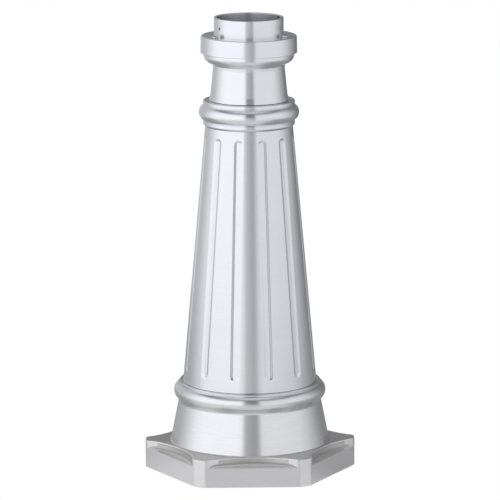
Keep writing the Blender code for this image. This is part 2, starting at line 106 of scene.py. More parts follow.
def arc(centre: Point, radii: Point, start: float, end: float, steps: int) -> Outline:
    """Points of an elliptic arc.

    Args:
        centre: Middle of the ellipse.
        radii: Half its width and half its height.
        start: First angle in degrees, from outwards.
        end: Last angle in degrees.
        steps: Number of straight steps.

    Returns:
        The arc's points, both ends included.
    """
    turns = [math.radians(start + (end - start) * i / steps) for i in range(steps + 1)]
    return [(centre[0] + radii[0] * math.cos(t), centre[1] + radii[1] * math.sin(t)) for t in turns]


def rounded(corners: Sequence[tuple[float, ...]], steps: int = 5) -> Outline:
    """Round the corners of a closed outline.

    Args:
        corners: (x, y) for a sharp corner, (x, y, radius) for a rounded one.
        steps: Straight steps in each rounding.

    Returns:
        The outline's points.
    """
    points: Outline = []
    for i, corner in enumerate(corners):
        here = Vector(corner[:2])
        radius = corner[2] if len(corner) > 2 else 0.0
        before = (Vector(corners[i - 1][:2]) - here).normalized()
        after = (Vector(corners[(i + 1) % len(corners)][:2]) - here).normalized()
        half = before.angle(after) / 2
        if radius <= 0.0 or half > math.radians(88):
            points.append(tuple(here))
            continue
        reach = radius / math.tan(half)
        middle = here + (before + after).normalized() * (radius / math.sin(half))
        first, last = here + before * reach - middle, here + after * reach - middle
        sweep = first.angle(last)
        for step in range(steps + 1):
            share = step / steps
            blend = (first * math.sin((1 - share) * sweep) + last * math.sin(share * sweep)) / math.sin(sweep)
            points.append(tuple(middle + blend))
    return points


def into_object(name: str, bm: bmesh.types.BMesh, sharp: float = 35.0) -> bpy.types.Object:
    """Turn a bmesh in millimetres into a clean, shaded object in metres.

    Args:
        name: Name of the piece.
        bm: The mesh, freed here.
        sharp: Edges bent by more degrees than this stay crisp.

    Returns:
        The linked object.
    """
    bmesh.ops.remove_doubles(bm, verts=bm.verts, dist=1e-4)
    bmesh.ops.dissolve_degenerate(bm, edges=bm.edges, dist=1e-4)
    bmesh.ops.scale(bm, vec=(MM, MM, MM), verts=bm.verts)
    bmesh.ops.recalc_face_normals(bm, faces=bm.faces)
    mesh = bpy.data.meshes.new(name)
    bm.to_mesh(mesh)
    bm.free()
    mesh.shade_smooth()
    mesh.set_sharp_from_angle(angle=math.radians(sharp))
    obj = bpy.data.objects.new(name, mesh)
    bpy.context.scene.collection.objects.link(obj)
    return obj


def skin(name: str, rows: Sequence[Sequence[Place]], ring: bool,
         zones: Sequence[int] | Callable[[int, int], int] | None = None,
         sharp: float = 35.0) -> bpy.types.Object:
    """Join closed rows of points into a shell.

    Args:
        name: Name of the piece.
        rows: Rows with equal numbers of points.
        ring: True joins the last row to the first; False caps both ends.
        zones: Material slot of the band that starts at each row, or of each face by row and column.
        sharp: Edges bent by more degrees than this stay crisp.

    Returns:
        The object.
    """
    bm = bmesh.new()
    grid = [[bm.verts.new(point) for point in row] for row in rows]
    pairs = list(zip(grid, grid[1:] + grid[:1])) if ring else list(zip(grid, grid[1:]))
    for index, (low, high) in enumerate(pairs):
        for i in range(len(low)):
            j = (i + 1) % len(low)
            face = bm.faces.new((low[i], low[j], high[j], high[i]))
            if zones:
                face.material_index = zones(index, i) if callable(zones) else zones[index]
    if not ring:
        bm.faces.new(grid[0][::-1])
        bm.faces.new(grid[-1])
    return into_object(name, bm, sharp)


def rings(stations: Outline, sides: int, centre: Point) -> list[list[Place]]:
    """Rows of points round a vertical axis, one for each (radius, z)."""
    return [[(x + centre[0], y + centre[1], z) for x, y, z in
             (polar(radius, 360.0 * i / sides, height) for i in range(sides))]
            for radius, height in stations]


def turned(name: str, outline: Outline, sides: int = 256, centre: Point = (0.0, 0.0),
           zones: Sequence[int] | None = None) -> bpy.types.Object:
    """Turn a closed outline about a vertical axis, leaving its bore open.

    Args:
        name: Name of the piece.
        outline: (radius, z) points.
        sides: Steps round the axis.
        centre: Place of the axis in plan.
        zones: Material slot of the band that starts at each point.

    Returns:
        The object.
    """
    return skin(name, rings(outline, sides, centre), True, zones)


def stacked(name: str, stations: Outline, sides: int = 48, centre: Point = (0.0, 0.0)) -> bpy.types.Object:
    """A closed stack of (radius, z) rings about a vertical axis, capped at both ends."""
    return skin(name, rings(stations, sides, centre), False)


def prism(name: str, outline: Outline, low: float, high: float, bevel: float,
          place: Matrix | None = None) -> bpy.types.Object:
    """An upright plate of any plan with bevelled rims.

    Args:
        name: Name of the piece.
        outline: Plan, in millimetres.
        low: Height of its underside.
        high: Height of its top.
        bevel: Radius of the rims' rounding.
        place: Turn and shift in plan, before it becomes an object.

    Returns:
        The object.
    """
    bm = bmesh.new()
    verts = [bm.verts.new((x, y, low)) for x, y in outline]
    base = bm.faces.new(verts)
    raised = bmesh.ops.extrude_face_region(bm, geom=[base])
    tops = [v for v in raised["geom"] if isinstance(v, bmesh.types.BMVert)]
    bmesh.ops.translate(bm, vec=(0.0, 0.0, high - low), verts=tops)
    if bevel > 0.0:
        rims = [e for e in bm.edges if abs(e.verts[0].co.z - e.verts[1].co.z) < 1e-6]
        bmesh.ops.bevel(bm, geom=rims, offset=bevel, segments=3, profile=0.5, affect="EDGES")
    if place is not None:
        bmesh.ops.transform(bm, matrix=place, verts=bm.verts)
    return into_object(name, bm)


def cut(target: bpy.types.Object, cutters: Sequence[bpy.types.Object], sharp: float = 35.0) -> None:
    """Subtract cutters from a piece, apply the cuts and remove the cutters.

    Args:
        target: The piece.
        cutters: Closed objects to take away from it.
        sharp: Edges bent by more degrees than this stay crisp.
    """
    for cutter in cutters:
        step = target.modifiers.new(cutter.name, "BOOLEAN")
        step.operation = "DIFFERENCE"
        step.solver = "EXACT"
        step.object = cutter
    graph = bpy.context.evaluated_depsgraph_get()
    result = bpy.data.meshes.new_from_object(target.evaluated_get(graph))
    target.modifiers.clear()
    target.data = result
    for cutter in cutters:
        bpy.data.objects.remove(cutter, do_unlink=True)
    result.shade_smooth()
    result.set_sharp_from_angle(angle=math.radians(sharp))


# ------------------------------------------------------------------ finishes

def linear(colour: str) -> tuple[float, float, float, float]:
    """An sRGB hex colour as linear RGBA."""
    shares = [int(colour[i:i + 2], 16) / 255.0 for i in (1, 3, 5)]
    return (*[s / 12.92 if s <= 0.04045 else ((s + 0.055) / 1.055) ** 2.4 for s in shares], 1.0)


def add_node(tree: bpy.types.NodeTree, kind: str, inputs: dict | None = None, **settings) -> bpy.types.Node:
    """Add one node.

    Args:
        tree: The node tree it joins.
        kind: Blender's name of the node type.
        inputs: Values, or output sockets to link, by input name or number.
        settings: The node's own properties.

    Returns:
        The node.
    """
    node = tree.nodes.new(kind)
    for key, value in settings.items():
        setattr(node, key, value)
    for key, value in (inputs or {}).items():
        if isinstance(value, bpy.types.NodeSocket):
            tree.links.new(value, node.inputs[key])
        else:
            node.inputs[key].default_value = value
    return node


class Grain(Enum):
    """Which way the marks of a finish run."""

    TURNED = "turned"        # rings about the vertical axis, as left by a lathe or a spun belt
    EVEN = "even"            # no direction, as cast or blasted


@dataclass(frozen=True)
class MetalFinish:
    """A worked metal surface, described by the marks its making leaves."""

    name: str
    light: str                      # hex of the clean metal
    dark: str                       # hex of the metal between its marks
    roughness: float
    spread: float                   # how far roughness strays either side
    anisotropy: float               # 0 for an even gloss, towards 1 for a directional one
    grain: Grain
    pitch: float                    # millimetres from mark to mark, across them
    run: float                      # millimetres a mark runs before it fades
    depth: float                    # millimetres from a mark's top to its bottom
    cloud: float = 60.0             # millimetres across the patches of uneven tone
    metallic: float = 1.0

    def marks_vector(self, tree: bpy.types.NodeTree) -> bpy.types.NodeSocket:
        """Make coordinates whose unit is one mark, so that noise in them draws the grain.

        Args:
            tree: The material's node tree.

        Returns:
            The socket that carries them.
        """
        place = add_node(tree, "ShaderNodeTexCoord").outputs["Object"]
        across, along = 1.0 / (self.pitch * MM), 1.0 / (self.run * MM)
        if self.grain is Grain.EVEN:
            scaled = add_node(tree, "ShaderNodeVectorMath", {0: place, "Scale": across}, operation="SCALE")
            return scaled.outputs["Vector"]
        parts = add_node(tree, "ShaderNodeSeparateXYZ", {0: place})
        plan = add_node(tree, "ShaderNodeCombineXYZ", {0: parts.outputs[0], 1: parts.outputs[1]})
        reach = add_node(tree, "ShaderNodeVectorMath", {0: plan.outputs[0]}, operation="LENGTH")
        height = add_node(tree, "ShaderNodeMath", {0: reach.outputs["Value"], 1: parts.outputs[2]},
                          operation="ADD")
        ring = add_node(tree, "ShaderNodeMath", {0: height.outputs[0], 1: across}, operation="MULTIPLY")
        slow = add_node(tree, "ShaderNodeVectorMath", {0: plan.outputs[0], "Scale": along}, operation="SCALE")
        side = add_node(tree, "ShaderNodeSeparateXYZ", {0: slow.outputs["Vector"]})
        return add_node(tree, "ShaderNodeCombineXYZ",
                        {0: side.outputs[0], 1: side.outputs[1], 2: ring.outputs[0]}).outputs[0]

    def material(self) -> bpy.types.Material:
        """Build the node material.

        Returns:
            The material.
        """
        made = bpy.data.materials.new(self.name)
        made.use_nodes = True
        tree = made.node_tree
        tree.nodes.clear()
        place = add_node(tree, "ShaderNodeTexCoord").outputs["Object"]
        marks = add_node(tree, "ShaderNodeTexNoise",
                         {"Vector": self.marks_vector(tree), "Scale": 1.0, "Detail": 3.0, "Roughness": 0.6})
        patches = add_node(tree, "ShaderNodeTexNoise",
                           {"Vector": place, "Scale": 1.0 / (self.cloud * MM), "Detail": 3.0})
        tone = add_node(tree, "ShaderNodeMath",
                        {0: marks.outputs["Fac"], 1: 0.6, 2: 0.2}, operation="MULTIPLY_ADD")
        mixed = add_node(tree, "ShaderNodeMath",
                         {0: patches.outputs["Fac"], 1: 0.4, 2: tone.outputs[0]}, operation="MULTIPLY_ADD")
        colour = add_node(tree, "ShaderNodeMix",
                          {"Factor": mixed.outputs[0], 6: linear(self.dark), 7: linear(self.light)},
                          data_type="RGBA")
        rough = add_node(tree, "ShaderNodeMapRange",
                         {"Value": mixed.outputs[0], "From Min": 0.3, "From Max": 0.9,
                          "To Min": self.roughness + self.spread, "To Max": self.roughness - self.spread})
        bump = add_node(tree, "ShaderNodeBump",
                        {"Height": marks.outputs["Fac"], "Distance": self.depth * MM, "Strength": 1.0})
        shader = add_node(tree, "ShaderNodeBsdfPrincipled",
                          {"Base Color": colour.outputs[2], "Metallic": self.metallic,
                           "Roughness": rough.outputs["Result"], "Normal": bump.outputs["Normal"],
                           "Anisotropic": self.anisotropy})
        if self.grain is Grain.TURNED and self.anisotropy > 0.0:
            # The marks ring the axis, so light spreads up and down and stays crisp sideways.
            ring = add_node(tree, "ShaderNodeTangent", direction_type="RADIAL", axis="Z")
            tree.links.new(ring.outputs["Tangent"], shader.inputs["Tangent"])
            shader.inputs["Anisotropic Rotation"].default_value = 0.25
        out = add_node(tree, "ShaderNodeOutputMaterial")
        tree.links.new(shader.outputs["BSDF"], out.inputs["Surface"])
        made.diffuse_color = linear(self.light)
        return made


@dataclass(frozen=True)
class RubberFinish:
    """Moulded rubber: a dull black skin with a faint bloom and mould grain."""

    name: str
    colour: str
    bloom: str
    roughness: float
    grain: float                    # millimetres across the mould's grain

    def material(self) -> bpy.types.Material:
        """Build the node material.

        Returns:
            The material.
        """
        made = bpy.data.materials.new(self.name)
        made.use_nodes = True
        tree = made.node_tree
        tree.nodes.clear()
        place = add_node(tree, "ShaderNodeTexCoord").outputs["Object"]
        fine = add_node(tree, "ShaderNodeTexNoise",
                        {"Vector": place, "Scale": 1.0 / (self.grain * MM), "Detail": 2.0})
        dust = add_node(tree, "ShaderNodeTexNoise", {"Vector": place, "Scale": 90.0, "Detail": 4.0})
        colour = add_node(tree, "ShaderNodeMix",
                          {"Factor": dust.outputs["Fac"], 6: linear(self.colour), 7: linear(self.bloom)},
                          data_type="RGBA")
        rough = add_node(tree, "ShaderNodeMapRange",
                         {"Value": dust.outputs["Fac"], "To Min": self.roughness - 0.08,
                          "To Max": self.roughness + 0.12})
        bump = add_node(tree, "ShaderNodeBump",
                        {"Height": fine.outputs["Fac"], "Distance": 0.02 * MM, "Strength": 0.6})
        shader = add_node(tree, "ShaderNodeBsdfPrincipled",
                          {"Base Color": colour.outputs[2], "Roughness": rough.outputs["Result"],
                           "Normal": bump.outputs["Normal"]})
        out = add_node(tree, "ShaderNodeOutputMaterial")
        tree.links.new(shader.outputs["BSDF"], out.inputs["Surface"])
        made.diffuse_color = linear(self.colour)
        return made


# Turned aluminium: fine rings from the tool and the abrasive belt. They smear light up and down,
# so that bands of light and dark run the height of the piece with crisp sides.
TURNED_ALUMINIUM = MetalFinish("turned_aluminium", "#f4f5f8", "#e6e8ed", 0.22, 0.02, 0.8,
                               Grain.TURNED, pitch=0.9, run=26.0, depth=0.004)
# Column casting, belt-brushed round its girth, a little finer than the turned parts.
BRUSHED_COLUMN = MetalFinish("brushed_cast_aluminium", "#f3f4f7", "#e5e7ec", 0.24, 0.02, 0.8,
                             Grain.TURNED, pitch=0.8, run=40.0, depth=0.003)
# Bell and lower moulding: coarser brush rings, plainly seen in the dark reflection.
BRUSHED_BELL = MetalFinish("brushed_bell_aluminium", "#f5f6f7", "#e2e4e7", 0.23, 0.03, 0.8,
                           Grain.TURNED, pitch=1.1, run=30.0, depth=0.008)
# Foot's upright faces: linished along their length, a softer, flatter grey than the bell.
LINISHED_FOOT = MetalFinish("linished_foot_aluminium", "#f6f5f7", "#e6e5e8", 0.44, 0.04, 0.5,
                            Grain.TURNED, pitch=1.2, run=18.0, depth=0.006)
# Foot's top: the fine sandy grain that blasting leaves on a casting.
GRAINED_TOP = MetalFinish("grained_foot_top", "#dedcdb", "#c7c5c4", 0.50, 0.05, 0.0,
                          Grain.EVEN, pitch=1.0, run=1.0, depth=0.05)
# Hollow of the scallops under the lip: a duller, darker, warmer grey, painted shade for the dark band in the
# recess.
COVE_PAINTED_SHADE = MetalFinish("scallop_wall_painted_shade", "#d3d0cb", "#b9b6b1", 0.42, 0.05, 0.0,
                       Grain.EVEN, pitch=0.9, run=0.9, depth=0.03)
# Inside of the castings: as it came from the mould, dull and pebbled.
AS_CAST = MetalFinish("as_cast_aluminium", "#c9cacc", "#9b9da1", 0.62, 0.06, 0.0,
                      Grain.EVEN, pitch=2.2, run=2.2, depth=0.18)
# Zinc plate: bright-grey with a faint cloudy bloom over the steel's rolling marks.
ZINC_PLATE = MetalFinish("zinc_plated_steel", "#c8ccd0", "#9aa1a8", 0.34, 0.08, 0.0,
                         Grain.EVEN, pitch=1.6, run=1.6, depth=0.012, cloud=9.0)
# Stainless steel: cold-formed and polished, the brightest of the fasteners.
STAINLESS = MetalFinish("stainless_steel", "#dddbd6", "#b9b6af", 0.20, 0.04, 0.0,
                        Grain.EVEN, pitch=0.7, run=0.7, depth=0.004, cloud=4.0)
# Green-passivated zinc: the colour code of an earth screw.
GREEN_ZINC = MetalFinish("green_passivated_steel", "#3f8f55", "#1f5c33", 0.36, 0.06, 0.0,
                         Grain.EVEN, pitch=0.9, run=0.9, depth=0.008, cloud=5.0)
BLACK_RUBBER = RubberFinish("black_rubber", "#17181a", "#2b2c2e", 0.62, 0.4)


class Workshop:
    """Makes each finish once and dresses pieces in it."""

    def __init__(self) -> None:
        """Start with no finish made."""
        self.made: dict[str, bpy.types.Material] = {}

    def get(self, finish: MetalFinish | RubberFinish) -> bpy.types.Material:
        """The finish's material, made the first time it is asked for."""
        if finish.name not in self.made:
            self.made[finish.name] = finish.material()
        return self.made[finish.name]

    def dress(self, piece: bpy.types.Object, finishes: Sequence[MetalFinish | RubberFinish], slot: str,
              *nodes: str) -> bpy.types.Object:
        """Give a new piece its finishes and body, and hide the CAD nodes it stands for.

        Args:
            piece: The new piece.
            finishes: One finish for each material index of its faces.
            slot: The record's material slot; not used.
            nodes: CAD nodes it replaces.

        Returns:
            The piece.
        """
        for finish in finishes:
            piece.data.materials.append(self.get(finish))
        weigh = piece.modifiers.new("flat faces stay flat", "WEIGHTED_NORMAL")
        weigh.keep_sharp = True
        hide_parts(*nodes)
        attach(piece, BODY)
        LOG.info("%s: %d faces, stands for %s", piece.name, len(piece.data.polygons), ", ".join(nodes))
        return piece

    def repaint(self, node: bpy.types.Object, finish: MetalFinish | RubberFinish) -> None:
        """Give a CAD node that keeps its own mesh a detailed finish.

        Args:
            node: The CAD node's object.
            finish: The finish it gets.
        """
        node.data.materials.clear()
        node.data.materials.append(self.get(finish))
        LOG.info("%s keeps its own mesh, in %s", node.name, finish.name)


# ------------------------------------------------------------------ base casting

class Zone(Enum):
    """Surfaces of the base casting, in the order of its material slots."""

    SIDE = 0
    TOP = 1
    BELL = 2
    INSIDE = 3
    COVE = 4


@dataclass
class BaseCasting:
    """Hexagonal foot with a scallop in each side, bell and lower moulding, in one casting."""

    extent: Extent
    seam_z: float                   # top of the casting, where the column sits
    seat: Point                     # radius and height of the column's seat inside
    ledge_z: float = 22.3           # floor of the scallops
    top_z: float = 30.8             # flat top of the foot
    scallop_deep: float = 12.3
    scallop_half: float = 49.0
    lip: float = 1.3                # rounding of the top rim
    cove: float = 6.8               # hollow rounding under the lip, where the scallop is deep
    edge: float = 1.2               # rounding of the ledge's front edge
    arris: float = 0.24             # softness of the upright corners
    bell_foot: float = 87.7
    bell_top: Point = (78.8, 76.2)
    flare: float = 1.0              # hollow rounding where the bell meets the foot
    moulding_r: float = 83.9        # radius over the lower half-round
    half_round: float = 9.6
    wall: float = 5.0
    rim: float = 11.0
    groove: Point = (4.0, 2.6)

    def scallop_depth(self, across: float) -> float:
        """How far the scallop's wall is behind the face at a distance from its middle."""
        share = min(1.0, abs(across) / self.scallop_half)
        return self.scallop_deep * (1.0 - share ** 2.3) ** 0.85

    def side_radius(self, phi: float) -> float:
        """Find the radius of the upright side, its corners softened.

        Args:
            phi: Azimuth from the face's normal, in degrees.

        Returns:
            The radius.
        """
        face = self.extent.high.y / math.cos(math.radians(phi))
        facet = self.extent.radius / math.cos(math.radians(30.0 - abs(phi)))
        nearer = min(face, facet)
        soft = math.exp(-(face - nearer) / self.arris) + math.exp(-(facet - nearer) / self.arris)
        return nearer - self.arris * math.log(soft)

    def half_sector(self) -> list[Point]:
        """List the section planes from a face's middle to the corner's middle.

        Returns:
            (azimuth, radius of the wall under the top) of each plane.
        """
        stations: list[Point] = []
        steps = 22
        for i in range(steps):
            across = self.scallop_half * math.sin(math.pi / 2 * i / steps)
            back = self.extent.high.y - self.scallop_depth(across)
            stations.append((math.degrees(math.atan2(across, back)), math.hypot(across, back)))
        end = math.degrees(math.atan2(self.scallop_half, self.extent.high.y))
        beyond = 14
        for i in range(beyond + 1):
            phi = end + (30.0 - end) * i / beyond
            stations.append((phi, self.side_radius(phi)))
        return stations

    def foot_section(self, phi: float, wall: float) -> list[tuple[float, float, Zone]]:
        """Draw the foot's section at one azimuth, from the rim's underside to the top plane.

        Args:
            phi: Azimuth from the face's normal, in degrees.
            wall: Radius of the wall under the top, behind the side where there is a scallop.

        Returns:
            Radius, height and surface of each point.
        """
        side = self.side_radius(phi)
        share = min(1.0, max(0.0, side - wall) / (self.edge + self.cove))
        edge, cove = self.edge * share, self.cove * share
        middle = side - self.rim / 2
        width, deep = self.groove
        foot = 0.9
        under = [(side - self.rim, 0.0), (middle - width / 2, 0.0), (middle - width / 2, deep),
                 (middle + width / 2, deep), (middle + width / 2, 0.0)]
        outside = arc((side - foot, foot), (foot, foot), -90.0, 0.0, 4)
        outside += [(side, 0.35 * self.ledge_z), (side, 0.7 * self.ledge_z)]
        outside += arc((side - edge, self.ledge_z - edge), (edge, edge), 0.0, 90.0, 5)
        hollow = arc((wall + cove, self.ledge_z + cove), (cove, cove), -90.0, -162.0, 10)
        lip = arc((wall - self.lip, self.top_z - self.lip), (self.lip, self.lip), 0.0, 90.0, 8)
        # Where the scallop is deep, the hollow under the lip takes the cove finish, whose darker grey is
        # painted shade; elsewhere it keeps the side's finish.
        rough = Zone.COVE if side - wall > self.edge else Zone.SIDE
        upper = Zone.COVE if share > 0.8 else Zone.SIDE
        steep = 5
        return ([(r, z, Zone.SIDE) for r, z in under + outside + hollow[:steep]]
                + [(r, z, rough) for r, z in hollow[steep:-1]] + [(*hollow[-1], upper)]
                + [(r, z, Zone.SIDE) for r, z in lip[:-1]] + [(*lip[-1], Zone.TOP)])

    def bell_section(self) -> list[tuple[float, float, Zone]]:
        """Draw bell, groove, half-round, fillet and the seat that takes the column.

        Returns:
            Radius, height and surface of each point.
        """
        centre = (self.moulding_r - self.half_round, self.seam_z - 10.9)
        seat_r, seat_z = self.seat
        root = rounded([(self.bell_foot + 2 * self.flare, self.top_z),
                        (self.bell_foot, self.top_z, self.flare),
                        (*self.bell_top, 4.0), (centre[0] + 6.8, centre[1] - 6.8)], 6)[1:-1]
        outside = root + arc(centre, (self.half_round, self.half_round), -50.0, 57.0, 24)
        outside += rounded([(centre[0] + 4.6, self.seam_z - 2.9), (77.4, self.seam_z - 2.8, 0.2),
                            (78.2, self.seam_z - 2.2, 0.4), (78.2, self.seam_z - 0.7, 0.5),
                            (77.7, self.seam_z, 0.4), (74.0, self.seam_z)])[1:-1]
        inside = [(seat_r, self.seam_z), (seat_r, seat_z), (seat_r - self.wall - 0.6, seat_z),
                  (seat_r - self.wall - 0.6, seat_z - self.wall), (self.bell_top[0] - self.wall, 70.4),
                  (self.bell_foot - self.wall, self.top_z - self.wall)]
        return [(r, z, Zone.BELL) for r, z in outside] + [(r, z, Zone.INSIDE) for r, z in inside]

    def hollow_section(self, phi: float, wall: float) -> list[tuple[float, float, Zone]]:
        """Draw the hollow's section in the foot, from under the top down to the rim.

        Args:
            phi: Azimuth from the face's normal, in degrees.
            wall: Radius of the wall under the top.

        Returns:
            Radius, height and surface of each point.
        """
        side = self.side_radius(phi)
        inner = wall - self.wall - 1.0
        points = [(inner, self.top_z - self.wall), (inner, self.ledge_z - 4.0),
                  (side - 6.0, self.ledge_z - 6.0), (side - 6.0, 9.0), (side - self.rim, 6.0)]
        return [(r, z, Zone.INSIDE) for r, z in points]

    def build(self) -> bpy.types.Object:
        """Sweep the section round the six sides.

        Returns:
            The casting.
        """
        half = self.half_sector()
        sector = [(-phi, wall) for phi, wall in reversed(half[1:])] + half[:-1]
        shared = self.bell_section()
        columns, angles = [], []
        for face in range(6):
            for phi, wall in sector:
                angles.append(60.0 * face + phi - 90.0)
                columns.append(self.foot_section(phi, wall) + shared + self.hollow_section(phi, wall))
        rows = [[polar(column[i][0], angle, column[i][1]) for column, angle in zip(columns, angles)]
                for i in range(len(columns[0]))]
        return skin("post_base", rows, True, lambda row, column: columns[column][row][2].value)

    def dress(self, shop: Workshop) -> None:
        """Build it and give each of its surfaces its finish."""
        # The fifth finish, on the scallop hollows, is a darker grey painted shade.
        shop.dress(self.build(), (LINISHED_FOOT, GRAINED_TOP, BRUSHED_BELL, AS_CAST, COVE_PAINTED_SHADE),
                   "brushed_cast_aluminium", "base_casting")


# ------------------------------------------------------------------ fluted column

@dataclass
class FlutedColumn:
    """Tapered column with twelve shallow, round-ended flutes, and a spigot at each end."""

    extent: Extent
    seam_z: float
    shoulder_z: float
    foot_r: float = 73.8
    taper: float = 0.09
    flutes: int = 12
    floor_half: float = 1.8         # half the flute's flat floor
    brow: float = 5.6               # from the flute's middle to where its wall has faded out
    deep: float = 1.15
    run: Point = (115.4, 368.4)     # heights between which the flute is straight
    wall: float = 5.0
    spigot_r: float = 67.3

    def radius(self, z: float) -> float:
        """Radius of the plain surface at a height."""
        return self.foot_r - self.taper * (z - self.seam_z)

    def sunk(self, across: float, z: float) -> float:
        """Find the depth of the flute below the plain surface.

        Args:
            across: Distance from the flute's middle, round the column.
            z: Height.

        Returns:
            The depth.
        """
        beyond = max(self.run[0] - z, z - self.run[1], 0.0)
        share = (math.hypot(across, beyond) - self.floor_half) / (self.brow - self.floor_half)
        share = min(1.0, max(0.0, share))
        return self.deep * (1.0 - share * share * (3.0 - 2.0 * share))

    def heights(self) -> list[float]:
        """List the heights of the rows, close together where the flutes end.

        Returns:
            The heights, from the bottom up.
        """
        low, high = self.run
        steps = 15
        ends = [(self.brow + 0.6) * i / steps for i in range(steps + 1)]
        between = [low + (high - low) * i / 9 for i in range(1, 9)]
        return ([self.shoulder_low(), self.seam_z + 1.2] + [low - end for end in reversed(ends)] + between
                + [high + end for end in ends] + [self.shoulder_z - 0.6, self.shoulder_z])

    def shoulder_low(self) -> float:
        """Height of the column's lower shoulder, just clear of the seam."""
        return self.seam_z + 0.3

    def row(self, z: float) -> list[Place]:
        """Draw one closed row of the outer surface.

        Args:
            z: Its height.

        Returns:
            The row's points.
        """
        plain = self.radius(z)
        pitch = 360.0 / self.flutes
        steps = 24
        reach = self.brow + 0.4
        places: list[Place] = []
        for flute in range(self.flutes):
            middle = pitch * (flute + 0.5) - 90.0
            for i in range(steps + 1):
                across = reach * (2.0 * i / steps - 1.0)
                turn = middle + math.degrees(across / plain)
                places.append(polar(plain - self.sunk(across, z), turn, z))
            edge = math.degrees(reach / plain)
            for i in (1, 2, 3, 4):
                places.append(polar(plain, middle + edge + (pitch - 2 * edge) * i / 5, z))
        return places

    def build(self) -> bpy.types.Object:
        """Join the outer rows to the spigots and the bore.

        Returns:
            The column.
        """
        rows = [self.row(z) for z in self.heights()]
        count = len(rows[0])
        spread = [360.0 * (i + 0.5) / count - 90.0 for i in range(count)]
        neck = self.radius(self.shoulder_z) - self.wall - 0.3
        bore = self.spigot_r - self.wall
        top = self.extent.high.z
        inner = rounded([(neck + 2.0, self.shoulder_z), (neck, self.shoulder_z), (neck, top, 0.8),
                         (neck - 4.7, top, 0.8), (neck - 4.7, self.shoulder_z - 6.0),
                         (bore, self.seam_z + 12.0), (bore, self.extent.low.z, 0.8),
                         (self.spigot_r, self.extent.low.z, 0.8), (self.spigot_r, self.seam_z - 7.0),
                         (self.spigot_r - 1.8, self.seam_z - 7.0), (self.spigot_r - 1.8, self.seam_z - 3.4),
                         (self.spigot_r, self.seam_z - 3.4), (self.spigot_r, self.shoulder_low())], 4)[1:]
        outer = len(rows)
        rows += [[polar(radius, turn, z) for turn in spread] for radius, z in inner]
        return skin("fluted_post", rows, True, [0] * (outer - 1) + [1] * (len(rows) - outer + 1))

    def dress(self, shop: Workshop) -> None:
        """Build it, brushed outside and as cast inside."""
        shop.dress(self.build(), (BRUSHED_COLUMN, AS_CAST), "brushed_cast_aluminium", "fluted_column")


# ------------------------------------------------------------------ turned head

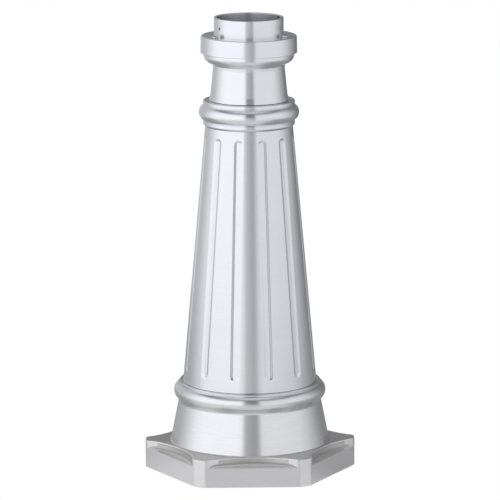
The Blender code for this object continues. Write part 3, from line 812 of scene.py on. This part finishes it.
@dataclass
class TurnedHead:
    """Everything above the column: upper moulding, neck with its bowl, collar and tenon."""

    ring: Extent
    neck: Extent
    collar: Extent
    tenon: Extent
    screws: dict[str, Extent]
    fillet_r: float = 50.3
    half_round: float = 9.5
    tenon_r: float = 38.1
    tenon_wall: float = 3.5
    tenon_hole_r: float = 1.75
    tenon_hole_drop: float = 10.0   # the side holes' middle, below the tenon's top
    rear_hole_drop: float = 11.4    # the rear hole's, a little lower
    screw_hole_r: float = 2.35
    gap: float = 0.3

    def astragal(self) -> bpy.types.Object:
        """Turn the upper moulding: fillet, half-round, fillet.

        Returns:
            The moulding.
        """
        low, high = self.ring.low.z, self.ring.high.z
        middle = (self.ring.radius - self.half_round, high - 13.2)
        bore = 38.3
        outline = rounded([(43.6, low), (48.6, low, 0.5), (self.fillet_r, low + 2.0, 0.9),
                           (self.fillet_r, low + 5.2, 0.6), (49.3, low + 5.9, 0.25), (50.6, low + 6.2)])[:-1]
        outline += arc(middle, (self.half_round, self.half_round), -61.0, 62.0, 24)
        outline += rounded([(50.4, high - 4.8), (49.2, high - 4.4, 0.25), (self.fillet_r, high - 3.7, 0.6),
                            (self.fillet_r, high - 0.2, 0.8), (49.0, high, 0.8), (bore, high),
                            (bore, high - 9.0), (35.0, high - 9.0), (35.0, low + 12.0),
                            (43.3, low + 9.0)])[1:]
        return turned("upper_moulding", outline)

    def neck_and_bowl(self) -> bpy.types.Object:
        """Turn the conical neck, flared at its foot, and the bowl that carries the collar.

        Returns:
            The neck.
        """
        foot = self.ring.high.z + self.gap
        rim_r, rim_z, top = 49.4, self.collar.low.z - 3.0, self.neck.high.z
        under = arc((38.4, rim_z), (rim_r - 38.4, 8.9), 0.0, -78.0, 16)
        neck = rounded([under[-1], (39.7, 450.1, 0.9), (39.3, 446.5, 3.0), (42.1, 418.0, 8.0),
                        (43.6, foot, 0.3), (38.0, foot)], 6)[:-1]
        outside = [(rim_r, self.collar.low.z - self.gap)] + under + neck[1:]
        rim_inner = rim_r - 1.7
        inside = [(38.0, foot), (38.0, foot - 2.4), (36.6, foot - 2.4), (36.6, foot - 5.2),
                  (38.0, foot - 5.2), (38.0, self.neck.low.z), (34.6, self.neck.low.z), (34.6, 447.0),
                  (35.0, 452.0), (39.2, 452.0), (39.2, top), (rim_inner, top),
                  (rim_inner, self.collar.low.z - self.gap)]
        made = turned("neck_with_bowl", outside + inside,
                      zones=[0] * len(outside) + [1] * len(inside))
        self.drill_for_screws(made, self.collar.low.z + 0.2, top + 2.0)
        return made

    def drill_for_screws(self, piece: bpy.types.Object, low: float, high: float) -> None:
        """Bore the three screws' clearance holes between two heights."""
        cut(piece, [stacked("drill", [(self.screw_hole_r, low), (self.screw_hole_r, high)], 32, screw.centre)
                    for screw in self.screws.values()])

    def collar_cap(self) -> bpy.types.Object:
        """Turn the plain collar, its outer edges eased.

        Returns:
            The collar.
        """
        low, high, reach = self.collar.low.z, self.collar.high.z, self.collar.radius
        outline = rounded([(48.0, low), (reach - 0.1, low, 0.6), (reach - 0.5, high, 1.5),
                           (self.tenon_r + self.gap, high, 0.3), (self.tenon_r + self.gap, high - 3.8),
                           (48.0, high - 3.8)])
        made = turned("collar", outline)
        self.drill_for_screws(made, high - 8.0, high + 2.0)
        return made

    def lantern_tenon(self) -> bpy.types.Object:
        """Turn the tube and its flange under the collar, and drill the three cross holes.

        Returns:
            The tenon.
        """
        low, high = self.tenon.low.z, self.tenon.high.z
        flange = self.collar.high.z - 3.8 - self.gap
        inside = self.tenon_r - self.tenon_wall
        outline = rounded([(inside, low, 0.3), (47.0, low, 0.3), (47.0, flange, 0.3), (self.tenon_r, flange),
                           (self.tenon_r, high, 0.6), (inside, high, 0.6)], 4)
        made = turned("tenon", outline)
        self.drill_for_screws(made, low - 2.0, flange + 2.0)
        cutters = []
        for where, screw in self.screws.items():
            tool = stacked("cross_drill", [(self.tenon_hole_r, 30.0), (self.tenon_hole_r, 42.0)], 32)
            heading = math.atan2(screw.centre[1], screw.centre[0])
            tool.rotation_euler = (0.0, math.radians(90.0), heading)
            drop = self.rear_hole_drop if where == "rear" else self.tenon_hole_drop
            tool.location = (0.0, 0.0, (high - drop) * MM)
            cutters.append(tool)
        bpy.context.view_layer.update()
        cut(made, cutters)
        return made

    def dress(self, shop: Workshop) -> None:
        """Build the four turned pieces.

        Args:
            shop: Gives them their finish.
        """
        shop.dress(self.astragal(), (TURNED_ALUMINIUM,), "turned_aluminium", "astragal_ring")
        shop.dress(self.neck_and_bowl(), (TURNED_ALUMINIUM, AS_CAST), "turned_aluminium", "neck_casting")
        shop.dress(self.collar_cap(), (TURNED_ALUMINIUM,), "turned_aluminium", "collar_cap")
        shop.dress(self.lantern_tenon(), (TURNED_ALUMINIUM,), "turned_aluminium", "lantern_tenon")


@dataclass
class TenonScrew:
    """Slotted pan-head screw through the collar."""

    where: str
    extent: Extent
    shank_r: float = 2.0
    head_r: float = 3.5
    head_high: float = 2.4
    slot_wide: float = 0.9
    slot_deep: float = 1.2

    def build(self) -> bpy.types.Object:
        """Turn the shank and head, then mill the slot.

        Returns:
            The screw.
        """
        top = self.extent.high.z
        seat = top - self.head_high
        dome = arc((self.head_r - 1.3, seat + 0.9), (1.3, 1.5), 0.0, 80.0, 7)
        stations = [(self.shank_r - 0.5, self.extent.low.z), (self.shank_r, self.extent.low.z + 0.7),
                    (self.shank_r, seat), (self.head_r - 0.1, seat), (self.head_r, seat + 0.15)]
        stations += dome + [(0.9, top)]
        made = stacked("tenon_screw_" + self.where + "_fine", stations, 48, self.extent.centre)
        half, wide = self.head_r + 1.0, self.slot_wide / 2
        heading = math.atan2(self.extent.centre[1], self.extent.centre[0]) + math.radians(35.0)
        place = Matrix.Translation((*self.extent.centre, 0.0)) @ Matrix.Rotation(heading, 4, "Z")
        slot = prism("slot", [(-half, -wide), (half, -wide), (half, wide), (-half, wide)],
                     top - self.slot_deep, top + 1.0, 0.0, place)
        cut(made, [slot])
        return made

    def dress(self, shop: Workshop) -> None:
        """Build it in polished stainless steel."""
        shop.dress(self.build(), (STAINLESS,), "stainless_steel", "tenon_screw_" + self.where)


# ------------------------------------------------------------------ tie rod and its hardware

@dataclass
class TieRod:
    """3/8 inch steel rod with rolled threads at both ends."""

    extent: Extent
    pitch: float = 25.4 / 16        # sixteen threads to the inch
    thread_deep: float = 0.86
    threaded: Point = (34.0, 62.0)  # length of thread at the foot and at the top
    sides: int = 28

    def radius(self, angle: float, z: float) -> float:
        """Find the radius over the thread's flat crest, flank or root.

        Args:
            angle: Degrees round the rod.
            z: Height.

        Returns:
            The radius.
        """
        outer = self.extent.radius
        low, high = self.extent.low.z, self.extent.high.z
        if low + self.threaded[0] < z < high - self.threaded[1]:
            return outer - self.thread_deep / 2
        phase = (z / self.pitch - angle / 360.0) % 1.0
        wave = abs(2.0 * phase - 1.0)
        cut_in = min(1.0, max(0.0, (wave - 0.12) / 0.7))
        taper = min(1.0, (z - low) / 1.2, (high - z) / 1.2)
        return outer - self.thread_deep * cut_in - 0.9 * (1.0 - taper)

    def heights(self) -> list[float]:
        """List the heights of the rows: six to each turn of thread, few along the plain shank.

        Returns:
            The heights, from the bottom up.
        """
        low, high = self.extent.low.z, self.extent.high.z
        step = self.pitch / 6
        foot = [low + step * i for i in range(int(self.threaded[0] / step) + 1)]
        top = [high - step * i for i in range(int(self.threaded[1] / step) + 1)]
        return foot + [low + self.threaded[0] + 0.2, high - self.threaded[1] - 0.2] + top[::-1]

    def build(self) -> bpy.types.Object:
        """Stack the rows into the rod.

        Returns:
            The rod.
        """
        turns = [360.0 * i / self.sides for i in range(self.sides)]
        rows = [[polar(self.radius(turn, z), turn, z) for turn in turns] for z in self.heights()]
        return skin("threaded_tie_rod", rows, False, sharp=60.0)

    def dress(self, shop: Workshop) -> None:
        """Build it in zinc plate."""
        shop.dress(self.build(), (ZINC_PLATE,), "zinc_plated_steel", "tie_rod")


@dataclass
class HexNut:
    """Hexagon nut with its corners chamfered by a cone, as cold-formed nuts are."""

    node: str
    extent: Extent
    bore: float = 4.95
    sides: int = 96

    def radius(self, angle: float, drop: float) -> float:
        """Find the radius of the flats, cut by the chamfer cone near either end.

        Args:
            angle: Degrees round the nut.
            drop: Distance from the nearer end.

        Returns:
            The radius.
        """
        corner = self.extent.radius
        flat = corner * math.cos(math.radians(30.0))
        across = (angle + 30.0) % 60.0 - 30.0
        side = flat / math.cos(math.radians(30.0 - abs(across)))
        return min(side, flat - 0.3 + drop * 1.7)

    def build(self) -> bpy.types.Object:
        """Loft the outside, and join it to a chamfered bore.

        Returns:
            The nut.
        """
        low, high = self.extent.low.z, self.extent.high.z
        drops = [0.0, 0.15, 0.35, 0.6, 0.9, 1.3]
        levels = [(low + drop, drop) for drop in drops] + [(high - drop, drop) for drop in reversed(drops)]
        turns = [360.0 * i / self.sides for i in range(self.sides)]
        rows = [[polar(self.radius(turn, drop), turn, z) for turn in turns] for z, drop in levels]
        for radius, z in ((self.bore + 0.7, high), (self.bore, high - 0.7), (self.bore, low + 0.7),
                          (self.bore + 0.7, low)):
            rows.append([polar(radius, turn, z) for turn in turns])
        return skin(self.node + "_fine", rows, True, sharp=25.0)

    def dress(self, shop: Workshop) -> None:
        """Build it in zinc plate."""
        shop.dress(self.build(), (ZINC_PLATE,), "zinc_plated_steel", self.node)


@dataclass
class ClampHardware:
    """Bar across the bowl, with the washers and nut that pull it down."""

    bar: Extent
    flat: Extent
    spring: Extent
    bar_wide: float = 22.0
    rod_hole: float = 5.4
    spring_bore: float = 5.1

    def clamp_bar(self) -> bpy.types.Object:
        """Stamp the bar, with round ends and rolled edges, and drill it for the rod.

        Returns:
            The bar.
        """
        reach = self.bar.radius
        corner = math.degrees(math.asin(self.bar_wide / 2 / reach))
        end = arc((0.0, 0.0), (reach, reach), -corner, corner, 12)
        outline = end + [(-x, -y) for x, y in end]
        made = prism("clamp_bar_fine", outline, self.bar.low.z, self.bar.high.z, 0.7)
        low, high = self.bar.low.z - 3.0, self.bar.high.z + 3.0
        cut(made, [stacked("drill", [(self.rod_hole, low), (self.rod_hole, high)], 48)])
        return made

    def flat_washer(self) -> bpy.types.Object:
        """Punched washer, one rim rounded by the punch."""
        low, high, reach = self.flat.low.z, self.flat.high.z, self.flat.radius
        return turned("rod_flat_washer_fine", rounded([(5.26, low), (reach, low, 0.15), (reach, high, 0.5),
                                                       (5.26, high, 0.3)], 3), 96)

    def spring_washer(self) -> bpy.types.Object:
        """Wind the split washer, one turn that rises across its split.

        Returns:
            The washer.
        """
        low, reach = self.spring.low.z, self.spring.radius
        rise = 0.5
        thick = self.spring.high.z - low - rise
        section = rounded([(self.spring_bore, 0.0, 0.3), (reach, 0.0, 0.3), (reach, thick, 0.3),
                           (self.spring_bore, thick, 0.3)], 3)
        steps = 80
        rows = [[polar(r, 12.0 + 336.0 * i / steps, low + z + rise * i / steps) for r, z in section]
                for i in range(steps + 1)]
        return skin("rod_lock_washer_fine", rows, False)

    def dress(self, shop: Workshop) -> None:
        """Build the three pieces in zinc plate.

        Args:
            shop: Gives them their finish.
        """
        shop.dress(self.clamp_bar(), (ZINC_PLATE,), "zinc_plated_steel", "clamp_bar")
        shop.dress(self.flat_washer(), (ZINC_PLATE,), "zinc_plated_steel", "rod_flat_washer")
        shop.dress(self.spring_washer(), (ZINC_PLATE,), "zinc_plated_steel", "rod_lock_washer")


# ------------------------------------------------------------------ anchor plate and earth

@dataclass
class AnchorPlate:
    """Steel plate on the pier, its cable bush and its earth screw."""

    plate: Extent
    bush: Extent
    screw: Extent
    cup: Extent
    rod_hole: float = 5.4
    bush_hole: float = 12.3         # radius of the hole that the bush lines
    earth_hole: float = 2.6
    slot_pitch: float = 57.15       # from the axis to the middle of a slot, 114.3 mm circle
    slot_r: float = 5.5
    slot_half: float = 7.0
    slots: int = 4
    past: float = 3.0               # how far a cutter reaches past each face

    def steel_plate(self) -> bpy.types.Object:
        """Cut a disc with four obround anchor slots, cable hole, rod hole and earth hole.

        Returns:
            The plate.
        """
        low, high, reach = self.plate.low.z, self.plate.high.z, self.plate.radius
        rim = rounded([(0.5, low), (reach, low, 0.7), (reach, high, 0.7), (0.5, high)], 3)
        made = stacked("anchor_plate_fine", rim, 192)
        cutters = [self.drill(self.rod_hole, (0.0, 0.0)),
                   self.drill(self.bush_hole, self.bush.centre),
                   self.drill(self.earth_hole, self.screw.centre)]
        ends = arc((self.slot_half, 0.0), (self.slot_r, self.slot_r), -90.0, 90.0, 12)
        obround = ends + [(-x, -y) for x, y in ends]
        for i in range(self.slots):
            turn = 360.0 / self.slots * (i + 0.5)
            x, y, _ = polar(self.slot_pitch, turn, 0.0)
            place = Matrix.Translation((x, y, 0.0)) @ Matrix.Rotation(math.radians(turn + 90.0), 4, "Z")
            cutters.append(prism("slot", obround, low - self.past, high + self.past, 0.0, place))
        cut(made, cutters)
        return made

    def drill(self, radius: float, centre: Point) -> bpy.types.Object:
        """Round cutter through the plate."""
        low, high = self.plate.low.z - self.past, self.plate.high.z + self.past
        return stacked("drill", [(radius, low), (radius, high)], 48, centre)

    def cable_bush(self) -> bpy.types.Object:
        """Mould the rubber bush with its rolled lip.

        Returns:
            The bush.
        """
        low, high = self.bush.low.z, self.bush.high.z
        hole, face, lip = self.bush_hole - 0.6, self.plate.high.z, self.bush.radius
        outline = rounded([(hole - 3.0, low, 0.4), (hole, low, 0.4), (hole, face + 0.3),
                           (lip, face + 0.3, 0.5), (lip, high, 1.2), (hole - 3.0, high, 1.4)], 5)
        return turned("wire_grommet_fine", outline, 96, self.bush.centre)

    def earth_screw(self) -> bpy.types.Object:
        """Forge the hexagon washer-head screw, and mill its slot.

        Returns:
            The screw.
        """
        low, high = self.screw.low.z, self.screw.high.z
        seat = high - 4.0
        sides = 72
        turns = [360.0 * i / sides for i in range(sides)]
        stations = [(1.7, low, False), (2.2, low + 0.6, False), (2.2, seat, False), (4.8, seat, False),
                    (4.9, seat + 0.2, False), (4.9, seat + 0.7, False), (4.6, seat + 1.0, False),
                    (4.2, seat + 1.1, True), (4.2, seat + 3.5, True), (3.6, high, False)]
        flat = math.cos(math.radians(30.0))
        rows = []
        for radius, z, hexagon in stations:
            row = []
            for turn in turns:
                across = turn % 60.0 - 30.0
                reach = radius * flat / math.cos(math.radians(across)) if hexagon else radius
                x, y, _ = polar(min(reach, radius), turn, z)
                row.append((x + self.screw.centre[0], y + self.screw.centre[1], z))
            rows.append(row)
        made = skin("ground_screw_fine", rows, False, sharp=25.0)
        place = Matrix.Translation((*self.screw.centre, 0.0)) @ Matrix.Rotation(math.radians(20.0), 4, "Z")
        slot = [(-6.0, -0.5), (6.0, -0.5), (6.0, 0.5), (-6.0, 0.5)]
        cut(made, [prism("slot", slot, high - 1.1, high + 1.0, 0.0, place)], 25.0)
        return made

    def cup_washer(self) -> bpy.types.Object:
        """Turn the cup washer that traps the earth wire.

        Returns:
            The washer.
        """
        low, reach = self.cup.low.z, self.cup.radius
        outline = rounded([(2.6, low + 0.5), (5.0, low + 0.5, 0.2), (5.6, low, 0.2), (reach, low, 0.2),
                           (reach, low + 0.9, 0.3), (reach - 0.6, low + 1.5, 0.3), (2.6, low + 1.5)], 3)
        return turned("ground_washer_fine", outline, 72, self.cup.centre)

    def dress(self, shop: Workshop) -> None:
        """Build the plate and what it carries.

        Args:
            shop: Gives them their finishes.
        """
        shop.dress(self.steel_plate(), (ZINC_PLATE,), "zinc_plated_steel", "anchor_plate")
        shop.dress(self.cable_bush(), (BLACK_RUBBER,), "black_rubber", "wire_grommet")
        shop.dress(self.earth_screw(), (GREEN_ZINC,), "green_passivated_steel", "ground_screw")
        shop.dress(self.cup_washer(), (ZINC_PLATE,), "zinc_plated_steel", "ground_washer")


# ------------------------------------------------------------------ studio

@dataclass(frozen=True)
class SoftPanel:
    """A soft panel of light on the studio's dome, angles in degrees.

    Azimuth 0 is over the camera, positive to its right; elevation 0 is the horizon.
    """

    name: str
    strength: float
    sides: Point                    # azimuths of its left and right sides
    fades: Point                    # widths over which those sides fade
    level: Point = (-36.0, 46.0)    # elevations of its lower and upper edges
    soft: float = 20.0              # height over which those edges fade


@dataclass
class Studio:
    """Pale sweep, soft dome and long lens."""

    heading: float = -1.6           # degrees the camera stands round to the left of the front flat
    distance: float = 4.149         # metres from the post's axis, level
    height: float = 1.0581          # metres above the pier
    pitch: float = 11.111           # degrees the lens looks down
    yaw: float = 0.0089             # degrees it is turned right
    roll: float = 0.174             # degrees the post leans left in the frame
    lens: float = 276.22            # millimetres on a 36 mm wide sensor
    dome: float = 0.20              # light of the bare dome
    sweep: float = 0.68             # painted light: the sweep's glow seen in the metal, at its brightest in front on the left
    shade: float = 0.30             # painted shade: the sweep's glow seen in the metal behind the post, on the right
    panels: list[SoftPanel] = field(default_factory=lambda: [
        SoftPanel("left softbox", 0.88, (-106.0, -9.5), (60.0, 9.0)),
        SoftPanel("left fill", 0.34, (-176.0, -106.0), (14.0, 60.0)),
        SoftPanel("camera screen", 0.24, (-9.5, 15.5), (9.0, 4.0), (-36.0, 10.0), 24.0),
        SoftPanel("screen's left spill", 0.14, (-8.0, 3.0), (7.0, 9.0), (-36.0, 10.0), 24.0),
        SoftPanel("screen's right spill", 0.10, (11.5, 15.5), (6.0, 4.0)),
        SoftPanel("right softbox", 0.62, (15.5, 112.0), (4.0, 80.0)),
        SoftPanel("rear strip", 0.55, (172.0, 188.0), (6.0, 6.0), (-40.0, 0.0), 10.0),
        SoftPanel("overhead", 0.50, (-181.0, 181.0), (1.0, 1.0), (66.0, 130.0), 24.0),
    ])

    def window(self, tree: bpy.types.NodeTree, value: bpy.types.NodeSocket, middle: float,
               width: float) -> bpy.types.NodeSocket:
        """Make a smooth step from 0 to 1.

        Args:
            tree: The world's node tree.
            value: The angle, in degrees.
            middle: Where the step is half-way.
            width: Degrees it takes.

        Returns:
            The step's socket.
        """
        step = add_node(tree, "ShaderNodeMapRange",
                        {"Value": value, "From Min": middle - width / 2, "From Max": middle + width / 2},
                        interpolation_type="SMOOTHSTEP")
        return step.outputs["Result"]

    def panel_light(self, tree: bpy.types.NodeTree, panel: SoftPanel, around: bpy.types.NodeSocket,
                    above: bpy.types.NodeSocket) -> bpy.types.NodeSocket:
        """Make the light that one panel adds in a direction.

        Args:
            tree: The world's node tree.
            panel: The panel.
            around: Azimuth of the direction, in degrees.
            above: Elevation of the direction, in degrees.

        Returns:
            The light's socket.
        """
        starts = [self.window(tree, around, panel.sides[0], panel.fades[0]),
                  self.window(tree, above, panel.level[0], panel.soft)]
        ends = [self.window(tree, around, panel.sides[1], panel.fades[1]),
                self.window(tree, above, panel.level[1], panel.soft)]
        light = None
        for near, beyond in zip(starts, ends):
            inside = add_node(tree, "ShaderNodeMath", {0: near, 1: beyond}, operation="SUBTRACT").outputs[0]
            inside = add_node(tree, "ShaderNodeMath", {0: inside, 1: 0.0}, operation="MAXIMUM").outputs[0]
            scale = panel.strength if light is None else light
            light = add_node(tree, "ShaderNodeMath", {0: inside, 1: scale}, operation="MULTIPLY").outputs[0]
        return light

    def light(self) -> None:
        """Make the world: soft panels for the metal to reflect, plain white for the eye."""
        world = bpy.data.worlds.new("studio")
        bpy.context.scene.world = world
        world.use_nodes = True
        tree = world.node_tree
        tree.nodes.clear()
        way = add_node(tree, "ShaderNodeTexCoord").outputs["Generated"]
        turn = math.radians(self.heading)
        ahead = add_node(tree, "ShaderNodeVectorMath", {0: way, 1: (math.sin(turn), -math.cos(turn), 0.0)},
                         operation="DOT_PRODUCT").outputs["Value"]
        right = add_node(tree, "ShaderNodeVectorMath", {0: way, 1: (math.cos(turn), math.sin(turn), 0.0)},
                         operation="DOT_PRODUCT").outputs["Value"]
        swing = add_node(tree, "ShaderNodeMath", {0: right, 1: ahead}, operation="ARCTAN2").outputs[0]
        around = add_node(tree, "ShaderNodeMath", {0: swing}, operation="DEGREES").outputs[0]
        behind = add_node(tree, "ShaderNodeMath", {0: around, 1: 360.0}, operation="ADD").outputs[0]
        rise = add_node(tree, "ShaderNodeSeparateXYZ", {0: way}).outputs[2]
        lift = add_node(tree, "ShaderNodeMath", {0: rise}, operation="ARCSINE").outputs[0]
        above = add_node(tree, "ShaderNodeMath", {0: lift}, operation="DEGREES").outputs[0]
        total = None
        for panel in self.panels:
            light = self.panel_light(tree, panel, around, above)
            if panel.sides[1] > 180.0:
                wrapped = self.panel_light(tree, panel, behind, above)
                light = add_node(tree, "ShaderNodeMath", {0: light, 1: wrapped},
                                 operation="MAXIMUM").outputs[0]
            base = self.dome if total is None else total
            total = add_node(tree, "ShaderNodeMath", {0: light, 1: base}, operation="ADD").outputs[0]
        dome = add_node(tree, "ShaderNodeBackground", {"Color": linear("#fbfcff"), "Strength": total})
        white = add_node(tree, "ShaderNodeBackground", {"Color": linear("#ffffff"), "Strength": 1.0})
        eye = add_node(tree, "ShaderNodeLightPath").outputs["Is Camera Ray"]
        both = add_node(tree, "ShaderNodeMixShader", {0: eye, 1: dome.outputs[0], 2: white.outputs[0]})
        add_node(tree, "ShaderNodeOutputWorld", {"Surface": both.outputs[0]})

    def floor(self) -> None:
        """Round white sweep under the foot, seen as white; in the metal it glows pale grey, with painted
        light in front on the left and painted shade behind the post on the right.
        """
        bm = bmesh.new()
        bmesh.ops.create_circle(bm, cap_ends=True, segments=96, radius=1100.0)
        bmesh.ops.translate(bm, vec=(0.0, 0.0, -0.2), verts=bm.verts)
        sweep = into_object("sweep", bm)
        made = bpy.data.materials.new("white_sweep")
        made.use_nodes = True
        tree = made.node_tree
        tree.nodes.clear()
        seen = add_node(tree, "ShaderNodeEmission", {"Color": linear("#ffffff"), "Strength": 1.0})
        # Painted light and shade on the sweep's glow: brightest towards the front left, painted shade behind
        # the post on the right.
        painted_light_heading = math.radians(self.heading - 18.0)
        place = add_node(tree, "ShaderNodeTexCoord").outputs["Object"]
        way = add_node(tree, "ShaderNodeVectorMath", {0: place}, operation="NORMALIZE").outputs["Vector"]
        side = add_node(tree, "ShaderNodeVectorMath", {0: way, 1: (math.sin(painted_light_heading), -math.cos(painted_light_heading), 0.0)},
                        operation="DOT_PRODUCT").outputs["Value"]
        level = add_node(tree, "ShaderNodeMapRange", {"Value": side, "From Min": -0.1, "From Max": 0.8,
                                                      "To Min": self.shade, "To Max": self.sweep},
                         interpolation_type="SMOOTHSTEP").outputs["Result"]
        painted_glow = add_node(tree, "ShaderNodeEmission", {"Color": linear("#fdfcfb"), "Strength": level})
        sheen = add_node(tree, "ShaderNodeBsdfGlossy", {"Color": linear("#ffffff"), "Roughness": 0.2})
        graze = add_node(tree, "ShaderNodeFresnel", {"IOR": 1.6})
        shine = add_node(tree, "ShaderNodeMixShader", {0: graze.outputs[0], 1: painted_glow.outputs[0],
                                                       2: sheen.outputs[0]})
        eye = add_node(tree, "ShaderNodeLightPath").outputs["Is Camera Ray"]
        both = add_node(tree, "ShaderNodeMixShader", {0: eye, 1: shine.outputs[0], 2: seen.outputs[0]})
        add_node(tree, "ShaderNodeOutputMaterial", {"Surface": both.outputs[0]})
        sweep.data.materials.append(made)

    def camera(self) -> None:
        """Stand the camera in front, a little to the left and above, on a long lens."""
        data = bpy.data.cameras.new("camera")
        data.lens = self.lens
        data.sensor_width = 36.0
        data.clip_start, data.clip_end = 0.1, 40.0
        camera = bpy.data.objects.new("camera", data)
        bpy.context.scene.collection.objects.link(camera)
        turn = math.radians(self.heading)
        spot = Matrix.Translation((self.distance * math.sin(turn), -self.distance * math.cos(turn),
                                   self.height))
        aim = (Matrix.Rotation(turn, 4, "Z") @ Matrix.Rotation(math.radians(90.0 - self.pitch), 4, "X")
               @ Matrix.Rotation(math.radians(-self.yaw), 4, "Y")
               @ Matrix.Rotation(math.radians(-self.roll), 4, "Z"))
        camera.matrix_world = spot @ aim
        bpy.context.scene.camera = camera

    def build(self) -> None:
        """Set the sweep, the dome, the camera and a plain, true rendering of tone."""
        self.floor()
        self.light()
        self.camera()
        bpy.context.scene.view_settings.view_transform = "Standard"
        LOG.info("studio: %d panels on the dome", len(self.panels))


# ------------------------------------------------------------------ assembly

SCREWS = ("left", "right", "rear")
HIDDEN_RUBBER = ("foot_gasket", "lower_spigot_seal", "upper_spigot_seal")
NUTS = ("rod_weld_nut", "rod_jam_nut", "rod_clamp_nut")


def main() -> None:
    """Load the frame, build every piece round it, and set the studio."""
    logging.basicConfig(level=logging.INFO, format="%(name)s: %(message)s")
    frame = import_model()
    shop = Workshop()
    column = Extent.of("fluted_column")
    ring = Extent.of("astragal_ring")
    base = Extent.of("base_casting")
    screws = {where: Extent.of("tenon_screw_" + where) for where in SCREWS}

    BaseCasting(base, base.high.z, (67.9, column.low.z - 0.3)).dress(shop)
    FlutedColumn(column, base.high.z, ring.low.z - 0.3).dress(shop)
    TurnedHead(ring, Extent.of("neck_casting"), Extent.of("collar_cap"), Extent.of("lantern_tenon"),
               screws).dress(shop)
    for where, extent in screws.items():
        TenonScrew(where, extent).dress(shop)
    TieRod(Extent.of("tie_rod")).dress(shop)
    for node in NUTS:
        HexNut(node, Extent.of(node)).dress(shop)
    ClampHardware(Extent.of("clamp_bar"), Extent.of("rod_flat_washer"),
                  Extent.of("rod_lock_washer")).dress(shop)
    AnchorPlate(Extent.of("anchor_plate"), Extent.of("wire_grommet"), Extent.of("ground_screw"),
                Extent.of("ground_washer")).dress(shop)
    for node in HIDDEN_RUBBER:
        shop.repaint(frame["nodes"][node], BLACK_RUBBER)
    shop.repaint(frame["nodes"]["clocking_pin"], STAINLESS)

    Studio().build()


if __name__ == "__main__":
    main()
